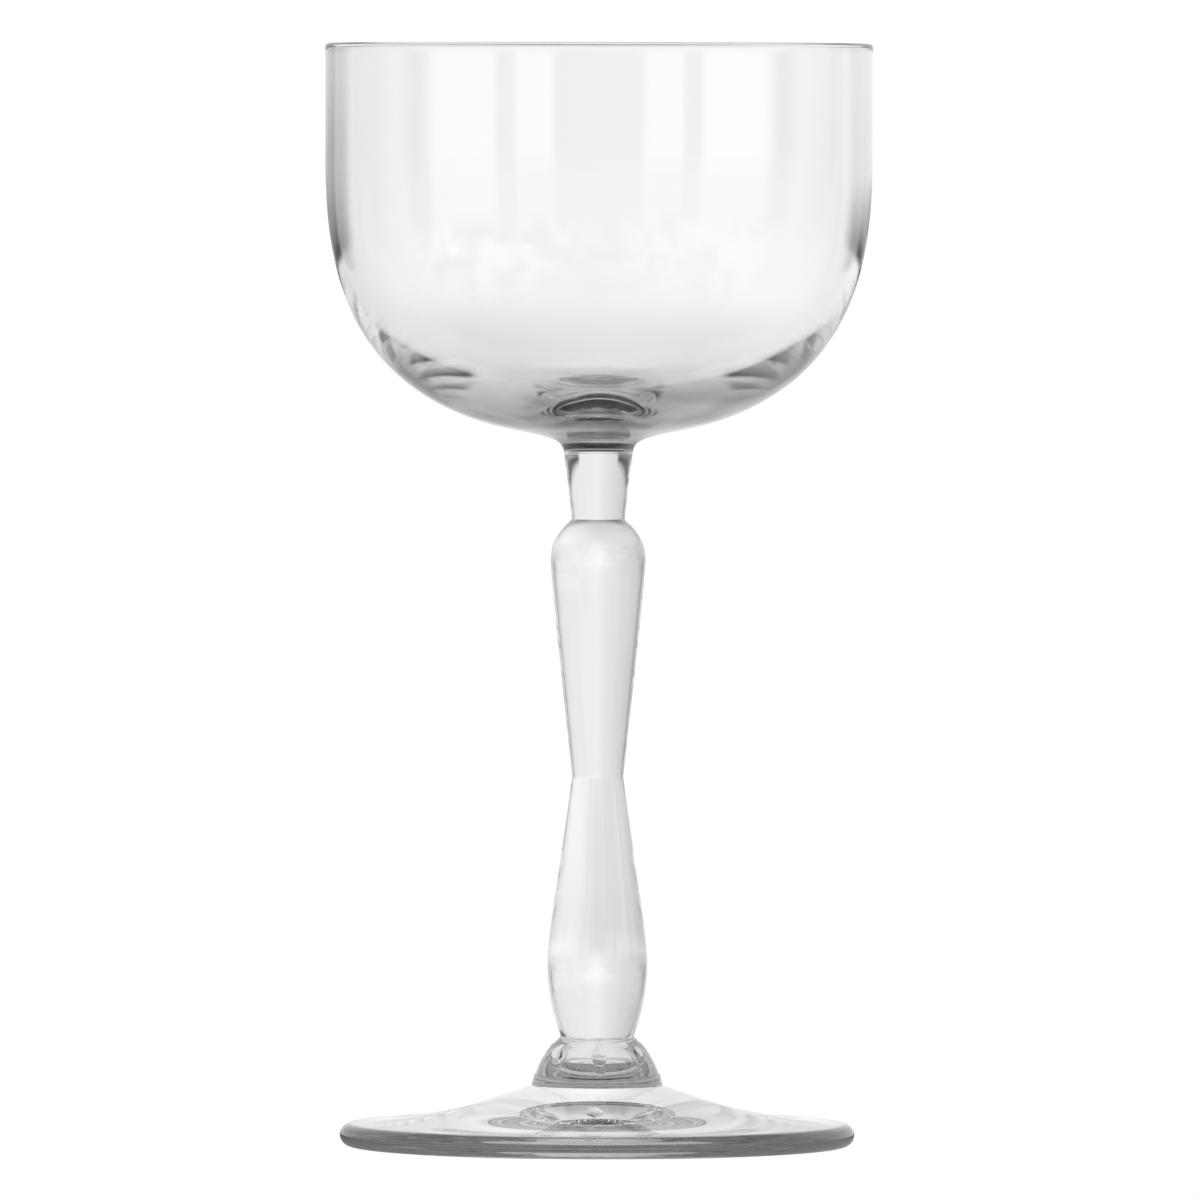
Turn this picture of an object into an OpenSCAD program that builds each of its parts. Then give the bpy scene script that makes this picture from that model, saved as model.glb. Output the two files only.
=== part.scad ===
// Nick and nora glass: a small deep bowl on a long baluster stem with a cut button above its foot.
// Millimetres, +Z up. The origin is the centre of the foot's underside.

/* [Bowl] */
// Outside diameter at the rim
rim_d = 76; // [66:0.5:86]
// Height of the bowl from its joint with the stem to the rim
bowl_h = 56.8; // [50:0.2:66]
// Thickness of the wall at the rim
rim_wall = 1.25; // [0.8:0.05:2]
// Height of the straight wall under the rim
straight_h = 11.9; // [6:0.1:16]
// Thickness of the solid glass below the well
base_t = 3.1; // [2.2:0.1:5]
// Height of the stub below the bowl's round underside
stub_h = 2.2; // [1.6:0.1:3]
// Diameter at which the round underside starts to run into the stub
flare_d = 24; // [18:0.5:30]

/* [Stem] */
// Diameter of the joint between the bowl and the stem
stem_top_d = 9.6; // [8.6:0.1:11]
// Length of the tapered neck
neck_h = 9.2; // [6:0.2:14]
// Diameter at the foot of the neck
neck_d = 7.4; // [6:0.1:8.4]
// Length of the upper baluster
upper_h = 35.9; // [26:0.1:46]
// Height from the upper baluster's widest place to its top
shoulder_h = 5.7; // [4:0.1:9]
// Diameter of the upper baluster at its shoulder
shoulder_d = 13.15; // [11:0.05:16]
// Diameter of the stem at its waist
waist_d = 7.1; // [5.6:0.1:9]
// Length of the lower baluster
lower_h = 35.9; // [26:0.1:46]
// Height from the lower baluster's base to its widest place
swell_h = 10.2; // [7:0.1:14]
// Diameter of the lower baluster at its widest
swell_d = 13.8; // [12:0.05:17]
// Diameter of the lower baluster's base
stem_base_d = 10.1; // [8.6:0.1:11.6]

/* [Button and ring] */
// Height of the button
boss_h = 5.3; // [4.2:0.1:7]
// Diameter of the button at its top
boss_top_d = 10.3; // [9:0.1:12]
// Diameter of the button at its base
boss_d = 17.3; // [15.6:0.1:20]
// Number of olive cuts around the button
cut_count = 8; // [6:1:10]
// Width of each cut at its middle
cut_w = 2; // [1.4:0.1:2.6]
// Distance from the button's top down to a cut's upper tip
cut_top_gap = 0.4; // [0.3:0.05:0.8]
// Distance from the button's base up to a cut's lower tip
cut_base_gap = 0.75; // [0.5:0.05:1.2]
// Turn of the whole pattern about the stem, in degrees
cut_turn = 2.2; // [0:0.1:22.5]
// Height of the ring
ring_h = 1.5; // [0.8:0.1:2.4]
// Diameter of the ring at its top
ring_top_d = 17.5; // [15:0.1:21]
// Diameter of the ring at its base
ring_d = 18.2; // [15.6:0.1:22]

/* [Foot] */
// Diameter of the foot
foot_d = 71.4; // [60:0.2:80]
// Height of the foot's middle
foot_h = 8.4; // [6.6:0.1:11]
// Thickness of the foot's rounded edge
edge_t = 3.1; // [2:0.1:4]

/* [Hidden] */

glass = [0.86, 0.90, 0.91, 0.55];
turn_steps = 120;
curve_steps = 18;
bowl_steps = 34;
edge_steps = 10;
// Overrun of every cutting shape past what it cuts
over = 1;

// Heights of the joints, from the table up
ring_z = foot_h;
boss_z = ring_z + ring_h;
lower_z = boss_z + boss_h;
upper_z = lower_z + lower_h;
neck_z = upper_z + upper_h;
bowl_z = neck_z + neck_h;
rim_z = bowl_z + bowl_h;

// Each face of the bowl is a curve of depth and radius, as shares, each raised to its own power
outer_powers = [3, 2.31];
inner_powers = [3.55, 2.03];

// Inner control points of each curved span, as shares of the box between its two ends
neck_shares = [[0.15, 0.05], [0.95, 0.88]];
shoulder_shares = [[0.71, 0.35], [1, 0.58]];
upper_shares = [[0, 0.11], [0.97, 0.94]];
lower_shares = [[0.81, 0.76], [1, 0.85]];
swell_shares = [[0, 0.19], [0.06, 0.54]];
boss_shares = [[0.18, 0.17], [0.49, 0.16]];
ring_shares = [[0.7, 0.8], [0.77, 0.5]];
foot_shares = [[0.24, 0.4], [0.56, 0.94]];
// How far the flare under the bowl runs on before it turns down, as a share of its width
flare_reach_share = 0.83;
// Where the flare turns down into the stub, as shares of the box between its ends
flare_turn_shares = [0.965, 0.44];

// Points of a curve from a to d, pulled towards b and c, without the first point
function bend(a, b, c, d) = [
    for (i = [1:curve_steps])
        let (t = i / curve_steps, s = 1 - t)
            s * s * s * a + 3 * s * s * t * b + 3 * s * t * t * c + t * t * t * d
];

// A point at the given shares of the box from p to q
function inside(p, q, share) = [p.x + share.x * (q.x - p.x), p.y + share.y * (q.y - p.y)];

// A curved span from p to q, without its first point
function span(p, q, shares) = bend(p, inside(p, q, shares[0]), inside(p, q, shares[1]), q);

// Points of an arc about a centre, from one angle to another, without the first point
function arc(centre, r, from, to) = [
    for (i = [1:edge_steps])
        let (a = from + (to - from) * i / edge_steps)
            centre + r * [cos(a), sin(a)]
];

// Points of the bowl's curve from its straight wall down to the given radius
function well(r, top, depth, end_r, powers) =
    let (last = acos(pow(end_r / r, powers.y / 2)))
    [
        for (i = [0:bowl_steps])
            let (a = last * i / bowl_steps)
                [r * pow(cos(a), 2 / powers.y), top - depth * pow(sin(a), 2 / powers.x)]
    ];

// Rise of the bowl's curve for each millimetre outwards, at the given radius
function well_slope(r, depth, at, powers) =
    let (x = at / r)
    depth / r * powers.y / powers.x * pow(x, powers.y - 1) * pow(1 - pow(x, powers.y), 1 / powers.x - 1);

function reverse(list) = [for (i = [len(list) - 1:-1:0]) list[i]];

// Radius of an outline at the given height
function radius_at(outline, z) = lookup(z, [for (p = outline) [p.y, p.x]]);

// A solid turned about the stem's axis, from its outline between two heights
module turned(outline, top, base) {
    rotate_extrude($fn = turn_steps)
        polygon(concat([[0, top]], outline, [[0, base]]));
}

module bowl() {
    rim_r = rim_d / 2;
    inner_r = rim_r - rim_wall;
    lip_r = rim_wall / 2;
    lip_z = rim_z - lip_r;
    wall_z = rim_z - straight_h;
    depth = bowl_h - straight_h - stub_h;
    inner = well(inner_r, wall_z, depth - base_t, 0, inner_powers);
    outer = well(rim_r, wall_z, depth, flare_d / 2, outer_powers);
    start = outer[bowl_steps];
    joint = [stem_top_d / 2, bowl_z];
    reach = flare_reach_share * (start.x - joint.x);
    run_on = start - reach * [1, well_slope(rim_r, depth, start.x, outer_powers)];
    turn = inside(start, joint, flare_turn_shares);
    lip = concat([[inner_r, lip_z]], arc([rim_r - lip_r, lip_z], lip_r, 180, 0));
    flare = bend(start, run_on, turn, joint);
    color(glass)
        rotate_extrude($fn = turn_steps)
            polygon(concat(reverse(inner), lip, outer, flare, [[0, bowl_z]]));
}

module stem_neck() {
    top = [stem_top_d / 2, bowl_z];
    base = [neck_d / 2, neck_z];
    color(glass)
        turned(concat([top], span(top, base, neck_shares)), bowl_z, neck_z);
}

module upper_baluster() {
    top = [neck_d / 2, neck_z];
    widest = [shoulder_d / 2, neck_z - shoulder_h];
    waist = [waist_d / 2, upper_z];
    outline = concat([top], span(top, widest, shoulder_shares), span(widest, waist, upper_shares));
    color(glass)
        turned(outline, neck_z, upper_z);
}

module lower_baluster() {
    waist = [waist_d / 2, upper_z];
    widest = [swell_d / 2, lower_z + swell_h];
    base = [stem_base_d / 2, lower_z];
    outline = concat([waist], span(waist, widest, lower_shares), span(widest, base, swell_shares));
    color(glass)
        turned(outline, upper_z, lower_z);
}

// One straight V-shaped groove along the button's side, between two points of its outline
module olive_cut(upper, lower, outline) {
    middle = (upper + lower) / 2;
    run = upper - lower;
    lean = atan2(-run.x, run.y);
    bulge_r = middle.x / cos(lean);
    depth = (radius_at(outline, middle.y) - middle.x) * cos(lean);
    // The button's own roundness takes this much off the groove's depth at its edges
    edge_loss = pow(cut_w / 2, 2) / (2 * bulge_r);
    half_share = cut_w / 2 / (depth - edge_loss);
    translate([middle.x, 0, middle.y])
        rotate([0, -lean, 0])
            linear_extrude(height = norm(run) + 2 * over, center = true)
                polygon([[0, 0], [over, over * half_share], [over, -over * half_share]]);
}

module foot_boss() {
    top = [boss_top_d / 2, lower_z];
    base = [boss_d / 2, boss_z];
    outline = concat([top], span(top, base, boss_shares));
    upper_tip_z = lower_z - cut_top_gap;
    lower_tip_z = boss_z + cut_base_gap;
    upper = [radius_at(outline, upper_tip_z), upper_tip_z];
    lower = [radius_at(outline, lower_tip_z), lower_tip_z];
    color(glass)
        difference() {
            turned(outline, lower_z, boss_z);
            for (i = [0:cut_count - 1])
                rotate([0, 0, cut_turn - 90 + i * 360 / cut_count])
                    olive_cut(upper, lower, outline);
        }
}

module foot_ring() {
    top = [ring_top_d / 2, boss_z];
    base = [ring_d / 2, ring_z];
    color(glass)
        turned(concat([top], span(top, base, ring_shares)), boss_z, ring_z);
}

module foot() {
    edge_r = edge_t / 2;
    top = [ring_d / 2, ring_z];
    edge_x = foot_d / 2 - edge_r;
    slope = span(top, [edge_x, edge_t], foot_shares);
    edge = arc([edge_x, edge_r], edge_r, 90, -90);
    color(glass)
        turned(concat([top], slope, edge), ring_z, 0);
}

bowl();
stem_neck();
upper_baluster();
lower_baluster();
foot_boss();
foot_ring();
foot();
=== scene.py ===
"""Nick and nora glass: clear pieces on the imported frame, on a pale floor in soft studio light."""
import math

import bpy
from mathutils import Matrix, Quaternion, Vector


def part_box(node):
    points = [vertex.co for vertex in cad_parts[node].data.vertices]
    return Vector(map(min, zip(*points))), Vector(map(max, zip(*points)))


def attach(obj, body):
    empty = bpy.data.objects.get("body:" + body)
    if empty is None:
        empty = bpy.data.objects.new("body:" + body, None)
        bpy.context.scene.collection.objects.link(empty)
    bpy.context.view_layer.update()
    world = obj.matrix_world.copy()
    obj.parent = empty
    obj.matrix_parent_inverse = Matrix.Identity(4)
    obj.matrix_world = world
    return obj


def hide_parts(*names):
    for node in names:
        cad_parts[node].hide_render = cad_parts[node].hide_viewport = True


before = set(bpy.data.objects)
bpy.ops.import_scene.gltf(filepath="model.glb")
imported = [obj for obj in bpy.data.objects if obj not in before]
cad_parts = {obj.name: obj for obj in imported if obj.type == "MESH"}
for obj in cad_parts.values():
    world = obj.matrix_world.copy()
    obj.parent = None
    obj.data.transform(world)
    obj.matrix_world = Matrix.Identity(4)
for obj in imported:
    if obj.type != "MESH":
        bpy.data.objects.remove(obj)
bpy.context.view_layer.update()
MM = 0.001

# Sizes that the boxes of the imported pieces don't give, in metres
RIM_WALL = 1.25 * MM
STRAIGHT_H = 11.9 * MM
BASE_T = 3.1 * MM
STUB_H = 2.2 * MM
FLARE_R = 12 * MM
NECK_R = 3.7 * MM
SHOULDER_H = 5.7 * MM
WAIST_R = 3.55 * MM
SWELL_H = 10.2 * MM
STEM_BASE_R = 5.05 * MM
BOSS_TOP_R = 5.15 * MM
RING_TOP_R = 8.75 * MM
EDGE_T = 3.1 * MM

# The olive cuts around the button
CUT_COUNT = 8
CUT_HALF_W = 1.0 * MM
CUT_TURN = math.radians(2.2)
CUT_TOP_GAP = 0.4 * MM
CUT_BASE_GAP = 0.75 * MM
CUT_RISE = math.tan(math.radians(39))
# A cut keeps this half width past its tips, so that every level of the mesh has the same corners
CUT_NONE = 0.01 * MM
CUT_COLUMNS = 8
LAND_COLUMNS = 8
BOSS_STEPS = 56

# Each face of the bowl is a curve of depth and radius, as shares, each raised to its own power
OUTER_POWERS = (3, 2.31)
INNER_POWERS = (3.55, 2.03)

# Inner control points of each curved span, as shares of the box between its two ends
NECK_SHARES = ((0.15, 0.05), (0.95, 0.88))
SHOULDER_SHARES = ((0.71, 0.35), (1, 0.58))
UPPER_SHARES = ((0, 0.11), (0.97, 0.94))
LOWER_SHARES = ((0.81, 0.76), (1, 0.85))
SWELL_SHARES = ((0, 0.19), (0.06, 0.54))
BOSS_SHARES = ((0.18, 0.17), (0.49, 0.16))
RING_SHARES = ((0.7, 0.8), (0.77, 0.5))
FOOT_SHARES = ((0.24, 0.4), (0.56, 0.94))
# How far the flare under the bowl runs on before it turns down, and where it turns
FLARE_REACH_SHARE = 0.83
FLARE_TURN_SHARES = (0.965, 0.44)

# Fineness of the meshes
TURNS = 256
SPAN_STEPS = 28
LONG_STEPS = 56
WELL_STEPS = 90
WALL_STEPS = 12
LIP_STEPS = 24
EDGE_STEPS = 32
# Below this radius a ring of the mesh is a single point
POINT_R = 0.0001 * MM


def size(node):
    """Largest radius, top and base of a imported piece."""
    lo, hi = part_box(node)
    return hi[0], hi[2], lo[2]


RIM_R, RIM_Z, BOWL_Z = size("bowl")
STEM_TOP_R, _, NECK_Z = size("stem_neck")
SHOULDER_R, _, UPPER_Z = size("upper_baluster")
SWELL_R, _, LOWER_Z = size("lower_baluster")
BOSS_R, _, BOSS_Z = size("foot_boss")
RING_R, _, RING_Z = size("foot_ring")
FOOT_R, _, _ = size("foot")


# Outlines: lists of (radius, height) points, from the top of a piece to its base
def bend(a, b, c, d, steps=SPAN_STEPS):
    """Points of a curve from a to d, pulled towards b and c, without the first point."""
    a, b, c, d = (Vector(p) for p in (a, b, c, d))
    points = []
    for i in range(1, steps + 1):
        t = i / steps
        s = 1 - t
        points.append(s ** 3 * a + 3 * s * s * t * b + 3 * s * t * t * c + t ** 3 * d)
    return [tuple(p) for p in points]


def inside(p, q, share):
    """A point at the given shares of the box from p to q."""
    return tuple(p[k] + share[k] * (q[k] - p[k]) for k in (0, 1))


def span(p, q, shares, steps=SPAN_STEPS):
    """A curved span from p to q, without its first point."""
    return bend(p, inside(p, q, shares[0]), inside(p, q, shares[1]), q, steps)


def straight(p, q, steps=WALL_STEPS):
    """Points between p and q, without either of them."""
    return [inside(p, q, (i / steps, i / steps)) for i in range(1, steps)]


def arc(centre, r, start, end, steps):
    """Points of an arc about a centre, angles in degrees, without the first point."""
    points = []
    for i in range(1, steps + 1):
        a = math.radians(start + (end - start) * i / steps)
        points.append((centre[0] + r * math.cos(a), centre[1] + r * math.sin(a)))
    return points


def well(r, top, depth, end_r, powers, steps=WELL_STEPS):
    """Points of the bowl's curve from its straight wall down to the given radius."""
    depth_power, radius_power = powers
    last = math.acos((end_r / r) ** (radius_power / 2))
    points = []
    for i in range(steps + 1):
        a = last * i / steps
        points.append((r * max(math.cos(a), 0) ** (2 / radius_power),
                       top - depth * math.sin(a) ** (2 / depth_power)))
    return points


def well_slope(r, depth, at, powers):
    """Rise of the bowl's curve for each metre outwards, at the given radius."""
    depth_power, radius_power = powers
    x = at / r
    return (depth / r * radius_power / depth_power * x ** (radius_power - 1)
            * (1 - x ** radius_power) ** (1 / depth_power - 1))


class Wiring:
    """Short ways to add linked nodes to a node tree."""

    def __init__(self, tree):
        self.nodes = tree.nodes
        self.links = tree.links

    def feed(self, socket, value):
        """Link or set a socket."""
        if isinstance(value, bpy.types.NodeSocket):
            self.links.new(value, socket)
        else:
            socket.default_value = value

    def math(self, operation, *values):
        """Result of a sum."""
        node = self.nodes.new("ShaderNodeMath")
        node.operation = operation
        for socket, value in zip(node.inputs, values):
            self.feed(socket, value)
        return node.outputs[0]

    def step(self, value, start, end, low=0.0, high=1.0):
        """Smooth change from low to high between start and end."""
        node = self.nodes.new("ShaderNodeMapRange")
        node.interpolation_type = "SMOOTHSTEP"
        numbers = (("From Min", start), ("From Max", end), ("To Min", low), ("To Max", high))
        for name, number in numbers:
            self.feed(node.inputs[name], number)
        self.feed(node.inputs["Value"], value)
        return node.outputs["Result"]

    def curve(self, value, points, end):
        """Level by value, eased between the given points, which run from 0 to the end."""
        node = self.nodes.new("ShaderNodeValToRGB")
        elements = node.color_ramp.elements
        node.color_ramp.interpolation = "EASE"
        for _ in points[2:]:
            elements.new(0.5)
        # Colours end at 1, so they are shares of the highest level, or of 1 where all are 0
        top = max(level for _, level in points) or 1
        for element, (at, level) in zip(elements, points):
            element.position = at / end
            element.color = (level / top,) * 3 + (1,)
        self.feed(node.inputs["Fac"], self.math("DIVIDE", value, float(end)))
        return self.math("MULTIPLY", node.outputs["Color"], top)

    def mix(self, share, low, high):
        """The low value, and the given share of the way to the high one."""
        rest = self.math("SUBTRACT", 1.0, share)
        return self.math("ADD", self.math("MULTIPLY", rest, low), self.math("MULTIPLY", share, high))

    def product(self, first, *others):
        """All the values multiplied."""
        for other in others:
            first = self.math("MULTIPLY", first, other)
        return first

    def split(self, vector):
        """The three parts of a vector."""
        node = self.nodes.new("ShaderNodeSeparateXYZ")
        self.feed(node.inputs[0], vector)
        return node.outputs["X"], node.outputs["Y"], node.outputs["Z"]

    def noise(self, where, stretch, detail):
        """Smooth noise from 0 to 1, with so many lumps to the metre along each axis."""
        scale = self.nodes.new("ShaderNodeVectorMath")
        scale.operation = "MULTIPLY"
        self.feed(scale.inputs[0], where)
        self.feed(scale.inputs[1], stretch)
        node = self.nodes.new("ShaderNodeTexNoise")
        self.feed(node.inputs["Vector"], scale.outputs[0])
        self.feed(node.inputs["Scale"], 1.0)
        self.feed(node.inputs["Detail"], detail)
        return node.outputs["Fac"]

    def away(self, where):
        """Distance from the stem's axis."""
        x, y, _ = self.split(where)
        squares = self.math("ADD", self.math("MULTIPLY", x, x), self.math("MULTIPLY", y, y))
        return self.math("SQRT", squares)

    def azimuth(self, x, y):
        """Angle from the backdrop, in degrees, the same on both sides."""
        return self.math("ABSOLUTE", self.math("DEGREES", self.math("ARCTAN2", x, y)))

    def table(self, place, around, rows):
        """Level eased between rows, each of them a place and its levels by azimuth."""
        level = self.curve(around, rows[0][1], 180)
        for (before, _), (after, levels) in zip(rows, rows[1:]):
            further = self.curve(around, levels, 180)
            level = self.mix(self.step(place, before, after), level, further)
        return level

    def brighter_right(self, level, sideways):
        """The level with its gain towards the right, sideways being -1 to 1."""
        gain = self.math("ADD", self.math("MULTIPLY", sideways, RIGHT_GAIN_SHARE), 1.0)
        return self.math("MULTIPLY", level, gain)


# Glass. Lumps are so many to the metre along X, Y and Z.
IOR = 1.52
WHITE = (1, 1, 1, 1)
BLACK = (0, 0, 0, 1)
FAINT_TINT = (0.985, 0.99, 0.988, 1)
TINT_LUMPS = (30, 30, 20)
POLISH_LUMPS = (300, 300, 60)
POLISH = 0.01
RIPPLE_DEPTH = 0.02 * MM
BOWL_RIPPLES = (90, 90, 25)
BOWL_STRENGTH = 0.5
STEM_RIPPLES = (160, 160, 40)
STEM_STRENGTH = 0.2
FOOT_RIPPLES = (110, 110, 110)
FOOT_STRENGTH = 0.2
# The bowl's heavy base is less even: from this height over its joint down, its ripples grow, at last
# to this many times their depth
HEAVY_H = 38 * MM
HEAVY_GROWTH = 5.0
# Values of the noise at which a streak, a cloud or a polish mark has its first and its last level
NOISE_ENDS = (0.4, 0.6)
POLISH_ENDS = (0.5, 0.8)
# Detail of the noise: how many finer layers it has
SMOOTH, STREAKY, FINE = 1.0, 2.0, 3.0

# Painted shade darkens the outside of the bowl's solid base in streaks: the shares of the light that
# its darkest and its lightest streaks let through, their lumps, and the heights between which they fade
# out
BASE_SHADE_SHARES = (0.03, 0.3)
BASE_SHADE_STREAKS = (70, 70, 250)
BASE_SHADE_FADE = (BOWL_Z + 5.5 * MM, BOWL_Z + 14.5 * MM)
# Inside the first of these radii the painted shade has only the first of these shares of its strength
NEAR_R = (19 * MM, 25 * MM)
NEAR_SHARES = (0.9, 1.0)
# The outside is where the surface faces down: the upright part of its direction, from full to none
OUTSIDE_SLOPE = (-0.3, -0.1)
# Seen at a flat angle, the same outside has more painted shade, in other streaks
SIDE_SHADE_SHARES = (0.02, 0.4)
SIDE_SHADE_STREAKS = (90, 90, 160)
SIDE_SHADE_FADE = (BOWL_Z + 12 * MM, BOWL_Z + 20 * MM)
SIDE_FACING = (0.5, 0.8)
# Painted shade on the foot's rounded edge lets only this share of the light through. The shade starts
# at the first of these radii and is full at the second.
EDGE_SHADE_SHARE = 0.33
EDGE_SHADE_R = (FOOT_R - 0.6 * EDGE_T, FOOT_R - 0.3 * EDGE_T)
# Share of the light that crosses each face of the seam between the neck and the shoulder
LINE_LIGHT_SHARE = 0.3


def clear_glass(name, ripples, strength, painted_shade, heavy=None):
    """Clear glass with a faint tint drift, fine polish marks and slow ripples.

    The ripples are so many lumps to the metre along each axis. Where heavy is given, they grow from
    its second height down to its first, to its third number times their depth. The painted shade takes
    the wiring and the object's own coordinates, and gives the share of the light that gets through,
    which darkens the base colour.
    """
    mat = bpy.data.materials.new(name)
    mat.use_nodes = True
    wire = Wiring(mat.node_tree)
    shader = wire.nodes["Principled BSDF"]
    shader.inputs["Transmission Weight"].default_value = 1
    shader.inputs["IOR"].default_value = IOR
    where = wire.nodes.new("ShaderNodeTexCoord").outputs["Object"]
    tint = wire.nodes.new("ShaderNodeValToRGB")
    tint.color_ramp.elements[0].color = WHITE
    tint.color_ramp.elements[1].color = FAINT_TINT
    wire.feed(tint.inputs["Fac"], wire.noise(where, TINT_LUMPS, SMOOTH))
    # Painted shade: the tint, scaled by the share of the light that the shade lets through, is the base
    # colour
    shaded_tint = wire.nodes.new("ShaderNodeVectorMath")
    shaded_tint.operation = "SCALE"
    wire.feed(shaded_tint.inputs["Vector"], tint.outputs["Color"])
    wire.feed(shaded_tint.inputs["Scale"], painted_shade(wire, where))
    wire.feed(shader.inputs["Base Color"], shaded_tint.outputs["Vector"])
    marks = wire.step(wire.noise(where, POLISH_LUMPS, FINE), *POLISH_ENDS, 0.0, POLISH)
    wire.feed(shader.inputs["Roughness"], marks)
    height = wire.noise(where, ripples, SMOOTH)
    if heavy:
        base, top, growth = heavy
        grow = wire.step(wire.split(where)[2], base, top, growth, 1.0)
        height = wire.math("MULTIPLY", height, grow)
    bump = wire.nodes.new("ShaderNodeBump")
    bump.inputs["Strength"].default_value = strength
    bump.inputs["Distance"].default_value = RIPPLE_DEPTH
    wire.feed(bump.inputs["Height"], height)
    wire.feed(shader.inputs["Normal"], bump.outputs["Normal"])
    return mat


def fused_seam(name, light):
    """Where two gathers of glass are fused, light crosses without bending, or the given share of it."""
    mat = bpy.data.materials.new(name)
    mat.use_nodes = True
    wire = Wiring(mat.node_tree)
    wire.nodes.remove(wire.nodes["Principled BSDF"])
    clear = wire.nodes.new("ShaderNodeBsdfTransparent")
    clear.inputs["Color"].default_value = (light, light, light, 1)
    wire.feed(wire.nodes["Material Output"].inputs["Surface"], clear.outputs[0])
    return mat


def streaks(wire, where, lumps, levels):
    """Levels between the two given ones, in streaks."""
    return wire.step(wire.noise(where, lumps, STREAKY), *NOISE_ENDS, *levels)


def base_painted_shade(wire, where):
    """Streaky painted shade for the light that enters through the outside of the bowl's solid base."""
    height = wire.split(where)[2]
    face = wire.nodes.new("ShaderNodeNewGeometry")
    outside = wire.step(wire.split(face.outputs["Normal"])[2], *OUTSIDE_SLOPE, 1.0, 0.0)
    entering = wire.math("SUBTRACT", 1.0, face.outputs["Backfacing"])
    near = wire.step(wire.away(where), *NEAR_R, *NEAR_SHARES)
    base = wire.product(outside, entering, wire.step(height, *BASE_SHADE_FADE, 1.0, 0.0), near)
    angle = wire.nodes.new("ShaderNodeLayerWeight")
    flat = wire.step(angle.outputs["Facing"], *SIDE_FACING)
    side = wire.product(outside, entering, wire.step(height, *SIDE_SHADE_FADE, 1.0, 0.0), flat)
    return wire.product(wire.mix(base, 1.0, streaks(wire, where, BASE_SHADE_STREAKS, BASE_SHADE_SHARES)),
                        wire.mix(side, 1.0, streaks(wire, where, SIDE_SHADE_STREAKS, SIDE_SHADE_SHARES)))


def no_painted_shade(wire, where):
    """No painted shade: all of the light gets through."""
    return 1.0


def edge_painted_shade(wire, where):
    """Painted shade towards the foot's rounded edge."""
    return wire.step(wire.away(where), *EDGE_SHADE_R, 1.0, EDGE_SHADE_SHARE)


SEAM = fused_seam("fused_seam", 1.0)
LINE = fused_seam("neck_line", LINE_LIGHT_SHARE)
# The bowl's base and the foot's edge have painted shade in their base colour
BOWL_GLASS = clear_glass("bowl_glass", BOWL_RIPPLES, BOWL_STRENGTH, base_painted_shade,
                         (BOWL_Z, BOWL_Z + HEAVY_H, HEAVY_GROWTH))
STEM_GLASS = clear_glass("stem_glass", STEM_RIPPLES, STEM_STRENGTH, no_painted_shade)
FOOT_GLASS = clear_glass("foot_glass", FOOT_RIPPLES, FOOT_STRENGTH, edge_painted_shade)


# Material slots of a piece
IN_GLASS, IN_SEAM, IN_LINE = 0, 1, 2


def solid(name, verts, faces, slots, glass, creases=()):
    """A mesh object of glass, with a slot for each face, smooth but for its flat ends and creases."""
    mesh = bpy.data.meshes.new(name)
    mesh.from_pydata(verts, [], faces)
    for material in (glass, SEAM, LINE):
        mesh.materials.append(material)
    for poly, slot in zip(mesh.polygons, slots):
        poly.material_index = slot
        poly.use_smooth = True
    mesh.update()
    ends = [set(p.edge_keys) for p in mesh.polygons if len(p.vertices) > 4]
    sharp = set(creases).union(*ends)
    for edge in mesh.edges:
        edge.use_edge_sharp = edge.key in sharp
    obj = bpy.data.objects.new(name, mesh)
    bpy.context.scene.collection.objects.link(obj)
    return obj


def turned(name, outline, glass, top_slot=IN_SEAM, base_slot=IN_SEAM):
    """A closed piece turned about the stem's axis, with the slots of its flat ends."""
    verts, rings = [], []
    for r, z in outline:
        count = 1 if r < POINT_R else TURNS
        rings.append(list(range(len(verts), len(verts) + count)))
        for k in range(count):
            a = 2 * math.pi * k / TURNS
            verts.append((r * math.cos(a), r * math.sin(a), z))
    faces = []
    for above, below in zip(rings, rings[1:]):
        for k in range(TURNS):
            n = (k + 1) % TURNS
            if len(above) == 1:
                faces.append((above[0], below[k], below[n]))
            else:
                faces.append((above[k], below[k], below[n], above[n]))
    slots = [IN_GLASS] * len(faces)
    if len(rings[0]) > 1:
        faces.append(tuple(rings[0]))
        slots.append(top_slot)
    faces.append(tuple(reversed(rings[-1])))
    slots.append(base_slot)
    return solid(name, verts, faces, slots, glass)


def place(obj, node, slot):
    """Put a piece in the place of a packed one."""
    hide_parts(node)
    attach(obj, "root")


def make_bowl():
    """The bowl: its inside, a round lip, its outside and the flare down to the stem."""
    inner_r = RIM_R - RIM_WALL
    lip_r = RIM_WALL / 2
    lip_z = RIM_Z - lip_r
    wall_z = RIM_Z - STRAIGHT_H
    depth = wall_z - STUB_H - BOWL_Z
    inner = well(inner_r, wall_z, depth - BASE_T, 0, INNER_POWERS)
    outer = well(RIM_R, wall_z, depth, FLARE_R, OUTER_POWERS)
    lip = arc((RIM_R - lip_r, lip_z), lip_r, 180, 0, LIP_STEPS)
    start, joint = outer[-1], (STEM_TOP_R, BOWL_Z)
    reach = FLARE_REACH_SHARE * (start[0] - joint[0])
    run_on = (start[0] - reach, start[1] - reach * well_slope(RIM_R, depth, start[0], OUTER_POWERS))
    flare = bend(start, run_on, inside(start, joint, FLARE_TURN_SHARES), joint)
    outline = inner[::-1] + straight(inner[0], (inner_r, lip_z)) + [(inner_r, lip_z)] + lip
    outline += straight((RIM_R, lip_z), outer[0]) + outer + flare
    return turned("bowl_shell", outline, BOWL_GLASS)


def make_neck():
    """The tapered neck, with the dark line at its foot."""
    top, base = (STEM_TOP_R, BOWL_Z), (NECK_R, NECK_Z)
    outline = [top] + span(top, base, NECK_SHARES)
    return turned("neck_gather", outline, STEM_GLASS, base_slot=IN_LINE)


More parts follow.
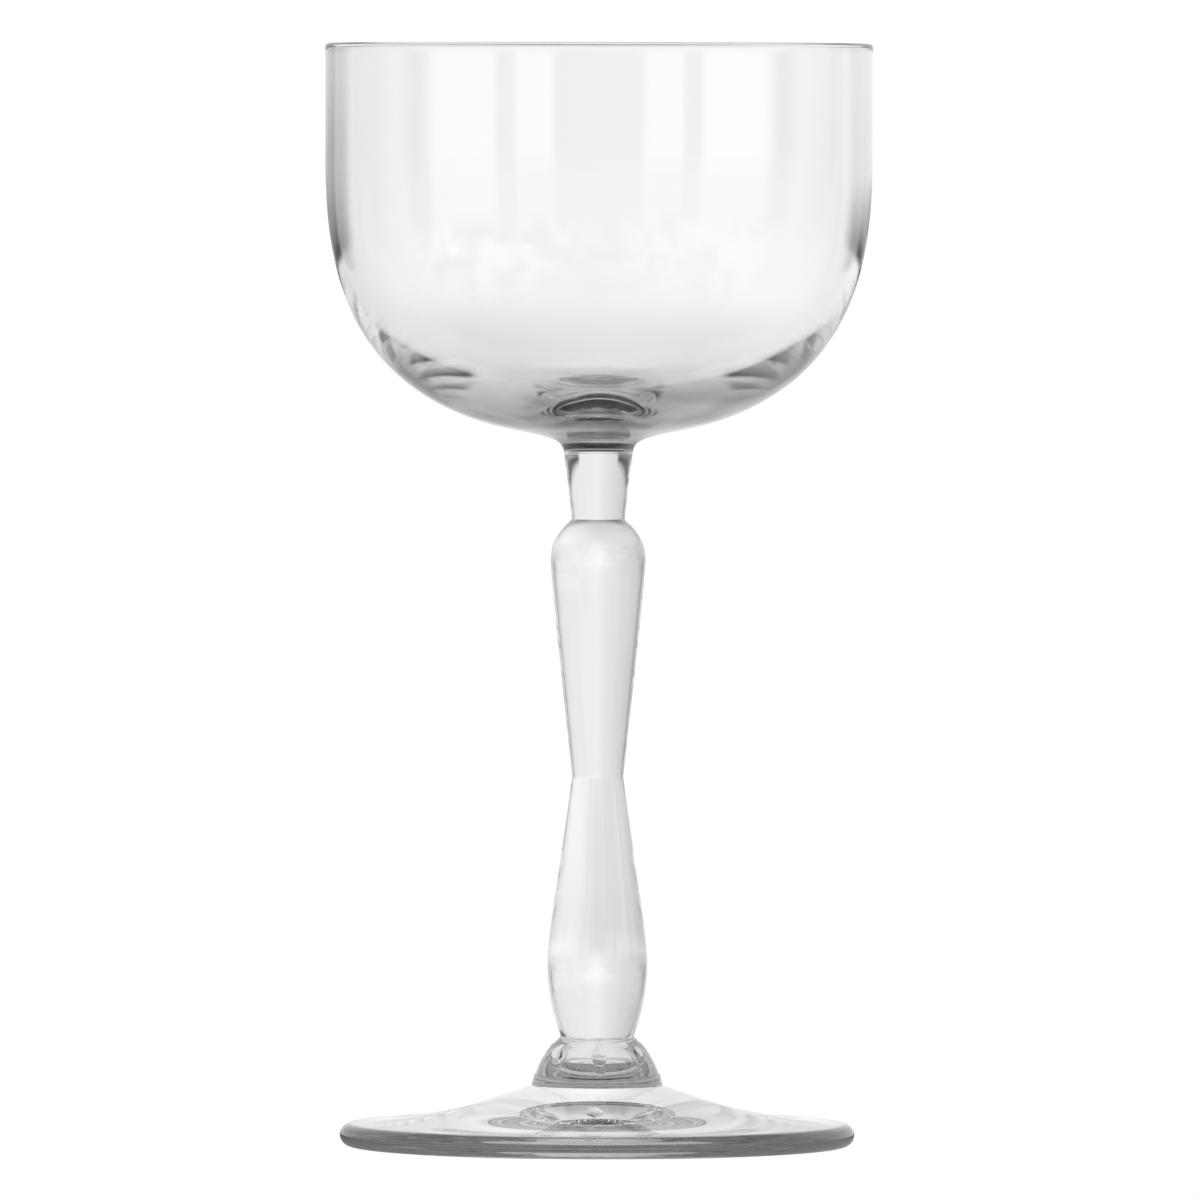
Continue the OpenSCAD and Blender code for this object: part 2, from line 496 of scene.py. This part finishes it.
def make_upper():
    """The upper half of the stem, from its shoulder down to the waist."""
    top, waist = (NECK_R, NECK_Z), (WAIST_R, UPPER_Z)
    widest = (SHOULDER_R, NECK_Z - SHOULDER_H)
    outline = [top] + span(top, widest, SHOULDER_SHARES)
    outline += span(widest, waist, UPPER_SHARES, LONG_STEPS)
    return turned("upper_gather", outline, STEM_GLASS, top_slot=IN_LINE)


def make_lower():
    """The lower half of the stem, from the waist down over its swelling."""
    waist, base = (WAIST_R, UPPER_Z), (STEM_BASE_R, LOWER_Z)
    widest = (SWELL_R, LOWER_Z + SWELL_H)
    outline = [waist] + span(waist, widest, LOWER_SHARES, LONG_STEPS)
    outline += span(widest, base, SWELL_SHARES)
    return turned("lower_gather", outline, STEM_GLASS)


def groove(v):
    """Depth of a cut as a share of its half width's rise, from its middle, 0, to its edge, 1.

    The inner half has a round bottom and the outer half a straight flank.
    """
    v = abs(v)
    return 1 - v if v > 0.5 else 0.75 - v * v


def cut_row(r, z, inward, half_w):
    """One level of the button: for each cut its columns, then those of the land up to the next."""
    row = []
    sector = 2 * math.pi / CUT_COUNT
    edge = half_w / r
    for k in range(CUT_COUNT):
        middle = CUT_TURN - math.pi / 2 + sector * k
        for i in range(2 * CUT_COLUMNS + 1):
            v = i / CUT_COLUMNS - 1
            depth = half_w * CUT_RISE * groove(v)
            reach = r + inward[0] * depth
            a = middle + edge * v
            row.append((reach * math.cos(a), reach * math.sin(a), z + inward[1] * depth))
        for i in range(1, LAND_COLUMNS):
            a = middle + edge + (sector - 2 * edge) * i / LAND_COLUMNS
            row.append((r * math.cos(a), r * math.sin(a), z))
    return row


def make_button():
    """The domed button with its cuts, whose tips are pointed and whose edges are crisp."""
    top, base = (BOSS_TOP_R, LOWER_Z), (BOSS_R, BOSS_Z)
    outline = [top] + span(top, base, BOSS_SHARES, BOSS_STEPS)
    cut_top, cut_base = LOWER_Z - CUT_TOP_GAP, BOSS_Z + CUT_BASE_GAP
    block = 2 * CUT_COLUMNS + LAND_COLUMNS
    count = CUT_COUNT * block
    edges = [k * block + i for k in range(CUT_COUNT) for i in (0, 2 * CUT_COLUMNS)]
    verts, faces, sharp = [], [], set()
    for j, (r, z) in enumerate(outline):
        before, after = outline[max(j - 1, 0)], outline[min(j + 1, len(outline) - 1)]
        along = Vector((after[0] - before[0], after[1] - before[1])).normalized()
        at = (cut_top - z) / (cut_top - cut_base)
        within = 0 < at < 1
        half_w = max(CUT_HALF_W * 4 * at * (1 - at), CUT_NONE) if within else CUT_NONE
        verts += cut_row(r, z, (along[1], -along[0]), half_w)
        if j:
            above, below = (j - 1) * count, j * count
            faces += [(above + i, below + i, below + (i + 1) % count, above + (i + 1) % count)
                      for i in range(count)]
            if within:
                sharp |= {(above + i, below + i) for i in edges}
    slots = [IN_GLASS] * len(faces) + [IN_SEAM, IN_SEAM]
    last = len(verts) - count
    faces += [tuple(range(count)), tuple(reversed(range(last, last + count)))]
    return solid("cut_button", verts, faces, slots, FOOT_GLASS, sharp)


def make_ring():
    """The thin step on the foot."""
    top, base = (RING_TOP_R, BOSS_Z), (RING_R, RING_Z)
    return turned("step_ring", [top] + span(top, base, RING_SHARES), FOOT_GLASS)


def make_foot():
    """The foot: its slope, its rounded edge and its flat underside."""
    edge_r = EDGE_T / 2
    top, edge_x = (RING_R, RING_Z), FOOT_R - edge_r
    outline = [top] + span(top, (edge_x, EDGE_T), FOOT_SHARES, LONG_STEPS)
    outline += arc((edge_x, edge_r), edge_r, 90, -90, EDGE_STEPS)
    return turned("foot_disc", outline, FOOT_GLASS, base_slot=IN_GLASS)


place(make_bowl(), "bowl", "bowl_glass")
place(make_neck(), "stem_neck", "stem_glass")
place(make_upper(), "upper_baluster", "stem_glass")
place(make_lower(), "lower_baluster", "stem_glass")
place(make_button(), "foot_boss", "foot_glass")
place(make_ring(), "foot_ring", "foot_glass")
place(make_foot(), "foot", "foot_glass")

# Stage. Azimuths are in degrees: 0 is behind the glass as the photograph shows it, up to 180 at the
# camera. Levels are the same on both sides, apart from a gain towards the right. Distances are in
# metres, except where millimetres are named.
FLOOR_R = 6.0
FLOOR_DROP = 0.05 * MM
SHADE_DROP = 0.1 * MM
FLOOR_SIDES = 96
FLOOR_GLOW = 1.0
BACKDROP_GLOW = 1.05
RIGHT_GAIN_SHARE = 0.25

# The floor as the glass sees it: distance from the stem in millimetres, then levels by azimuth.
# It is darkest just past the foot's edge, and lighter both under the foot and further out.
FLOOR_LEVELS = (
    (0, ((0, 0.5), (180, 0.5))),
    (11, ((0, 0.9), (15, 0.8), (40, 0.5), (70, 0.45), (180, 0.45))),
    (22, ((0, 0.8), (15, 0.7), (40, 0.45), (70, 0.45), (180, 0.45))),
    (38, ((0, 0.5), (15, 0.5), (40, 0.35), (180, 0.35))),
    (55, ((0, 0.15), (135, 0.15), (180, 0.25))),
    (80, ((0, 0.4), (60, 0.4), (95, 0.35), (135, 0.28), (180, 0.25))),
    (120, ((0, 0.7), (30, 0.8), (95, 0.65), (135, 0.4), (180, 0.3))),
    (200, ((0, 0.8), (30, 0.88), (95, 0.8), (135, 0.5), (180, 0.3))),
    (400, ((0, 0.95), (12, 0.85), (30, 0.8), (60, 0.7), (95, 0.7), (135, 0.5), (180, 0.3))),
    (1200, ((0, 1.03), (12, 0.88), (30, 0.8), (60, 0.6), (95, 0.4), (135, 0.4), (180, 0.3))),
)
# Distances on the floor are spaced by their logarithm, past this many millimetres
EVEN_TO = 10

# From the sides to the camera, the walls have tall soft boxes with dark gaps between them
BOX_WALLS = ((90, 0.1), (98, 0.1), (103, 0.72), (133, 0.72), (136, 0.1), (142, 0.1),
             (145, 0.72), (158, 0.72), (163, 0.05), (180, 0.05))
# The walls by azimuth: the bright backdrop, its sides, then the boxes
WALLS = ((0, 0.92), (14, 0.85), (26, 0.8), (45, 0.75), (57, 0.6), (62, 0.3), (68, 0.6),
         (84, 0.6)) + BOX_WALLS
# Just over the horizon the backdrop is brighter
HORIZON = ((0, 1.03), (6, 0.98), (14, 0.9), (26, 0.82), (45, 0.75), (57, 0.65), (62, 0.4),
           (68, 0.55), (84, 0.5)) + BOX_WALLS
# Over the soft boxes the walls are plain, with faint clouds from the sides to the camera
UPPER_WALLS = ((0, 0.92), (14, 0.85), (26, 0.8), (45, 0.75), (70, 0.5), (90, 0.4), (110, 0.55),
               (150, 0.55), (180, 0.2))
CLOUD_LUMPS = (5, 5, 7)
CLOUD_LEVELS = (0.0, 1.6)
CLOUD_START = (80, 100)
# Elevations in degrees: where the horizon has gone over to the walls, and where the boxes end
HORIZON_TOP = 4
BOX_TOP = 8
BOX_FADE = 12
# Share of the walls' light by elevation, up to the dark ceiling
RISE_SHARES = ((0, 1.0), (20, 1.0), (32, 0.85), (50, 0.1), (90, 0.0))

# Dark gauze round the back of the bowl, above the stem: its distance from the axis in millimetres,
# how far it reaches round to each side in degrees, and the steps of its mesh
GAUZE_DISTANCE = 120
GAUZE_TURN = 80
GAUZE_STEPS = 64


def two_bands(left, right):
    """Shares of the light that the gauze takes, by azimuth from the left, with a clear middle."""
    return ((0, 0.0), (22, 0.0), (32, left), (62, left), (68, 0.0),
            (112, 0.0), (118, right), (148, right), (158, 0.0), (180, 0.0))


# Its rows: a height in millimetres, then those shares
GAUZE_ROWS = (
    (109, two_bands(0.0, 0.0)),
    (115, two_bands(0.9, 0.9)),
    (125, two_bands(0.7, 0.6)),
    (135, two_bands(0.45, 0.15)),
    (150, two_bands(0.25, 0.1)),
    (165, two_bands(0.0, 0.0)),
)

# The two soft boxes that light the glass stand on the floor at its sides
PANEL_AZIMUTH = math.radians(119)
PANEL_DISTANCE = 0.9
PANEL_W = 0.5
PANEL_H = 0.7
PANEL_GLOW = 0.1


def stage_mesh(name, verts, faces):
    """A mesh of the stage, and the wiring of a material of its own."""
    mesh = bpy.data.meshes.new(name)
    mesh.from_pydata(verts, [], faces)
    obj = bpy.data.objects.new(name, mesh)
    bpy.context.scene.collection.objects.link(obj)
    mat = bpy.data.materials.new(name)
    mat.use_nodes = True
    mesh.materials.append(mat)
    return obj, Wiring(mat.node_tree)


def make_floor(name, drop):
    """A round floor just under the glass, not yet lit or hidden from anything."""
    turns = [2 * math.pi * k / FLOOR_SIDES for k in range(FLOOR_SIDES)]
    ring = [(FLOOR_R * math.cos(a), FLOOR_R * math.sin(a), 0) for a in turns]
    floor, wire = stage_mesh(name, ring, [tuple(range(FLOOR_SIDES))])
    floor.location.z = -drop
    return floor, wire


def make_white_floor():
    """The plain pale floor that the camera sees."""
    floor, wire = make_floor("floor", FLOOR_DROP)
    shader = wire.nodes["Principled BSDF"]
    shader.inputs["Base Color"].default_value = BLACK
    shader.inputs["Specular IOR Level"].default_value = 0
    shader.inputs["Emission Color"].default_value = WHITE
    shader.inputs["Emission Strength"].default_value = FLOOR_GLOW
    floor.visible_transmission = False
    floor.visible_glossy = False
    floor.visible_diffuse = False


def make_shaded_floor():
    """The same floor as it shows in the glass: shaded round the foot and at the sides."""
    floor, wire = make_floor("floor_in_glass", SHADE_DROP)
    wire.nodes.remove(wire.nodes["Principled BSDF"])
    where = wire.nodes.new("ShaderNodeTexCoord").outputs["Object"]
    x, y, _ = wire.split(where)
    away = wire.away(where)
    ratio = wire.math("DIVIDE", away, EVEN_TO * MM)
    spaced = wire.math("LOGARITHM", wire.math("ADD", 1.0, ratio), math.e)
    rows = [(math.log(1 + distance / EVEN_TO), levels) for distance, levels in FLOOR_LEVELS]
    level = wire.table(spaced, wire.azimuth(x, y), rows)
    level = wire.brighter_right(level, wire.math("DIVIDE", x, wire.math("MAXIMUM", away, POINT_R)))
    glow = wire.nodes.new("ShaderNodeEmission")
    wire.feed(glow.inputs["Strength"], level)
    wire.feed(wire.nodes["Material Output"].inputs["Surface"], glow.outputs[0])
    floor.visible_camera = False


def make_walls():
    """The studio round the glass: backdrop, walls with tall soft boxes, and a dark ceiling."""
    world = bpy.data.worlds.new("studio")
    bpy.context.scene.world = world
    world.use_nodes = True
    wire = Wiring(world.node_tree)
    where = wire.nodes.new("ShaderNodeTexCoord").outputs["Generated"]
    x, y, z = wire.split(where)
    around = wire.azimuth(x, y)
    up = wire.math("DEGREES", wire.math("ARCSINE", z))
    rows = ((0, HORIZON), (HORIZON_TOP, WALLS), (BOX_TOP, WALLS), (BOX_FADE, UPPER_WALLS))
    cloudy = wire.product(wire.step(up, BOX_TOP, BOX_FADE), wire.step(around, *CLOUD_START))
    clouds = wire.mix(cloudy, 1.0, streaks(wire, where, CLOUD_LUMPS, CLOUD_LEVELS))
    rise = wire.curve(wire.math("MAXIMUM", up, 0.0), RISE_SHARES, 90)
    level = wire.brighter_right(wire.product(wire.table(up, around, rows), clouds, rise), x)
    # The camera sees the plain backdrop
    seen = wire.nodes.new("ShaderNodeLightPath").outputs["Is Camera Ray"]
    wire.feed(wire.nodes["Background"].inputs["Strength"], wire.mix(seen, level, BACKDROP_GLOW))
    wire.nodes["Background"].inputs["Color"].default_value = WHITE


def make_gauze():
    """A curved strip of dark gauze that only the glass sees."""
    r, base, top = (value * MM for value in (GAUZE_DISTANCE, GAUZE_ROWS[0][0], GAUZE_ROWS[-1][0]))
    verts = []
    for i in range(GAUZE_STEPS + 1):
        a = math.radians(GAUZE_TURN * (2 * i / GAUZE_STEPS - 1))
        verts += [(r * math.sin(a), r * math.cos(a), z) for z in (base, top)]
    faces = [(2 * i, 2 * i + 1, 2 * i + 3, 2 * i + 2) for i in range(GAUZE_STEPS)]
    gauze, wire = stage_mesh("side_gauze", verts, faces)
    wire.nodes.remove(wire.nodes["Principled BSDF"])
    x, y, z = wire.split(wire.nodes.new("ShaderNodeTexCoord").outputs["Object"])
    from_left = wire.math("ADD", wire.math("DEGREES", wire.math("ARCTAN2", x, y)), 90.0)
    share = wire.table(wire.math("DIVIDE", z, MM), from_left, GAUZE_ROWS)
    clear = wire.nodes.new("ShaderNodeBsdfTransparent")
    wire.feed(clear.inputs["Color"], wire.math("SUBTRACT", 1.0, share))
    wire.feed(wire.nodes["Material Output"].inputs["Surface"], clear.outputs[0])
    gauze.visible_camera = False


def make_panels():
    """The two soft boxes at the sides, facing the glass."""
    for name, side in (("soft_box_right", 1), ("soft_box_left", -1)):
        light = bpy.data.lights.new(name, "AREA")
        light.shape = "RECTANGLE"
        light.size = PANEL_W
        light.size_y = PANEL_H
        light.energy = PANEL_GLOW * math.pi * PANEL_W * PANEL_H
        panel = bpy.data.objects.new(name, light)
        turn = side * PANEL_AZIMUTH
        panel.location = (PANEL_DISTANCE * math.sin(turn), PANEL_DISTANCE * math.cos(turn), PANEL_H / 2)
        panel.rotation_euler = (-math.pi / 2, 0, -turn)
        panel.visible_camera = False
        bpy.context.scene.collection.objects.link(panel)


# The camera where the photograph was taken from: its place, what it looks at, the width that it
# shows there, and its lean
CAMERA_DISTANCE = 2.975
CAMERA_HEIGHT = 165.4 * MM
AIM = Vector((0.26 * MM, 0, 75.77 * MM))
FRAME_WIDTH = 166.43 * MM
SENSOR = 36
ROLL = math.radians(0.115)
CLIP_END = 100


def make_camera():
    """The scene's camera, whose lens just frames the given width at what it looks at."""
    data = bpy.data.cameras.new("camera")
    camera = bpy.data.objects.new("camera", data)
    camera.location = (AIM.x, -CAMERA_DISTANCE, CAMERA_HEIGHT)
    line = AIM - camera.location
    data.sensor_width = SENSOR
    data.lens = SENSOR * line.length / FRAME_WIDTH
    data.clip_end = CLIP_END
    turn = line.to_track_quat("-Z", "Y")
    camera.rotation_mode = "QUATERNION"
    camera.rotation_quaternion = turn @ Quaternion((0, 0, 1), ROLL)
    bpy.context.scene.collection.objects.link(camera)
    bpy.context.scene.camera = camera


make_white_floor()
make_shaded_floor()
make_walls()
make_gauze()
make_panels()
make_camera()

# Light crosses many faces on its way through the stem and the foot
BOUNCES = 64
GLOSSY_BOUNCES = 48
CLEAR_BOUNCES = 32
scene = bpy.context.scene
scene.view_settings.view_transform = "Standard"
scene.cycles.max_bounces = BOUNCES
scene.cycles.transmission_bounces = BOUNCES
scene.cycles.glossy_bounces = GLOSSY_BOUNCES
scene.cycles.transparent_max_bounces = CLEAR_BOUNCES
